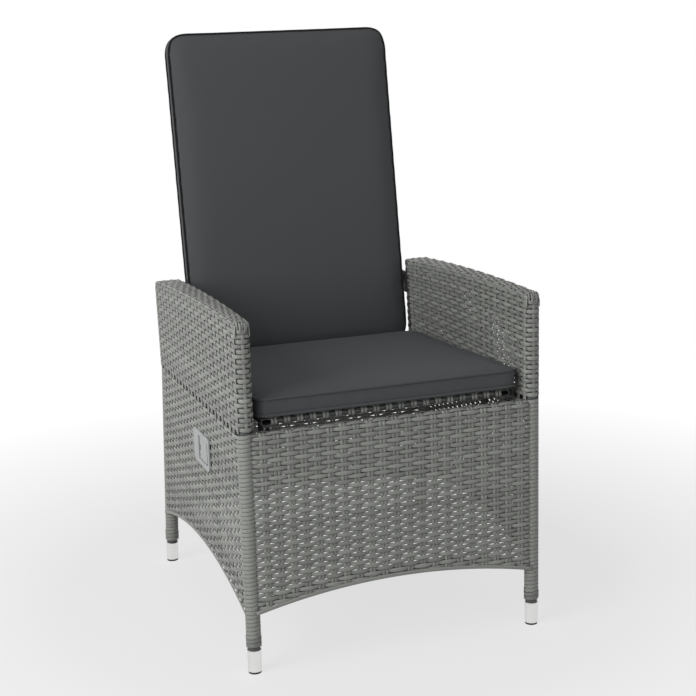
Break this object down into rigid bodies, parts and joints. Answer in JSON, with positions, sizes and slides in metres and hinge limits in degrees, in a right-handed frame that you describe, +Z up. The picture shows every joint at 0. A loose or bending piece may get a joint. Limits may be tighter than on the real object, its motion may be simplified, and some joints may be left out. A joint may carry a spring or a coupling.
{
  "type": "reclining garden armchair",
  "caption": "High-backed woven garden armchair whose back reclines and slides the seat forward, with piped cushions and a side release handle.",
  "frame": {"origin": "on the floor under the middle of the chair's outline", "axes": "+Z up, -Y towards the front of the seat, +X to the right of someone looking at the front"},
  "size_m": [0.6012, 0.694, 1.1083],
  "materials": {
    "weave": "satin woven strand",
    "frame_tube": "powder coated",
    "foot_sleeve": "brushed and clear coated",
    "glide": "moulded",
    "cushion_fabric": "woven polyester",
    "strap_elastic": "woven elastic",
    "fastener": "zinc plated",
    "bush": "moulded",
    "strut_body": "gloss black",
    "strut_shaft": "polished",
    "handle_grey": "fine textured",
    "cup_dark": "moulded",
    "cable_sheath": "smooth"
  },
  "bodies": {
    "frame": {"front_legs": "frame_tube", "rear_legs": "frame_tube", "arm_tubes": "frame_tube", "leg_sleeves": "foot_sleeve", "leg_glides": "glide", "leg_wraps": "weave", "side_weave_left": "weave", "side_weave_right": "weave", "inner_weave_left": "weave", "inner_weave_right": "weave", "arm_weave_left": "weave", "arm_weave_right": "weave", "front_weave": "weave", "rear_weave": "weave", "side_rails": "frame_tube", "inner_side_rails": "frame_tube", "side_arch_rails": "frame_tube", "front_top_rail": "frame_tube", "front_arch_rail": "frame_tube", "rear_top_rail": "frame_tube", "rear_arch_rail": "frame_tube", "arm_inner_rods": "frame_tube", "pivot_brackets": "frame_tube", "pivot_bolts": "fastener", "pivot_nuts": "fastener", "guide_plates": "frame_tube", "strut_bracket": "frame_tube", "strut_front_pin": "fastener", "handle_plate": "handle_grey", "handle_cup": "cup_dark", "handle_screws": "fastener", "handle_bar": "frame_tube", "paddle_pin": "fastener", "return_spring": "fastener", "release_cable": "cable_sheath"},
    "backrest": {"back_hoop": "frame_tube", "back_cross_bars": "frame_tube", "back_weave": "weave", "back_cushion": "cushion_fabric", "back_cushion_strap": "strap_elastic", "pivot_bushes": "bush", "hinge_bolts": "fastener", "hinge_nuts": "fastener", "strut_lug": "frame_tube", "strut_rear_pin": "fastener"},
    "seat": {"seat_side_rails": "frame_tube", "seat_cross_rails": "frame_tube", "seat_weave": "weave", "seat_cushion": "cushion_fabric", "hinge_bushes": "bush", "guide_hangers": "frame_tube", "guide_pins": "fastener", "guide_bushes": "bush"},
    "strut_rod": {"strut_head": "fastener", "strut_rod": "strut_shaft"},
    "strut_tube": {"strut_tube": "strut_body"},
    "release_lever": {"release_lever": "fastener"},
    "release_paddle": {"release_paddle": "handle_grey"}
  },
  "joints": [
    {"name": "recline", "type": "hinge", "parent": "frame", "child": "backrest", "pos_m": [0, 0.24824, 0.57], "axis": [-1, 0, 0], "range_deg": [0, 30]},
    {"name": "seat_hinge", "type": "hinge", "parent": "backrest", "child": "seat", "pos_m": [0, 0.2245, 0.425], "axis": [-1, 0, 0], "range_deg": [-30, 0]},
    {"name": "strut_swing", "type": "hinge", "parent": "frame", "child": "strut_rod", "pos_m": [-0.2625, -0.047, 0.455], "axis": [1, 0, 0], "range_deg": [-0.5, 2]},
    {"name": "strut_stroke", "type": "slide", "parent": "strut_rod", "child": "strut_tube", "axis": [0, 0.9825, 0.1862], "range_m": [-0.031, 0]},
    {"name": "paddle_hinge", "type": "hinge", "parent": "frame", "child": "release_paddle", "pos_m": [-0.29041, -0.08786, 0.352], "axis": [0, 0, -1], "range_deg": [0, 25], "stiffness_Nm_per_rad": 0.3, "springref_deg": -8.59},
    {"name": "lever_hinge", "type": "hinge", "parent": "strut_rod", "child": "release_lever", "pos_m": [-0.2625, -0.057, 0.455], "axis": [1, 0, 0], "range_deg": [0, 12.5]}
  ],
  "couplings": [
    {"joint": "seat_hinge", "follows": "recline", "ratio": -1},
    {"joint": "strut_swing", "follows": "recline", "ratio": 0.042998},
    {"joint": "strut_stroke", "follows": "recline", "m_per_rad": -0.055837},
    {"joint": "lever_hinge", "follows": "paddle_hinge", "ratio": 0.48}
  ]
}
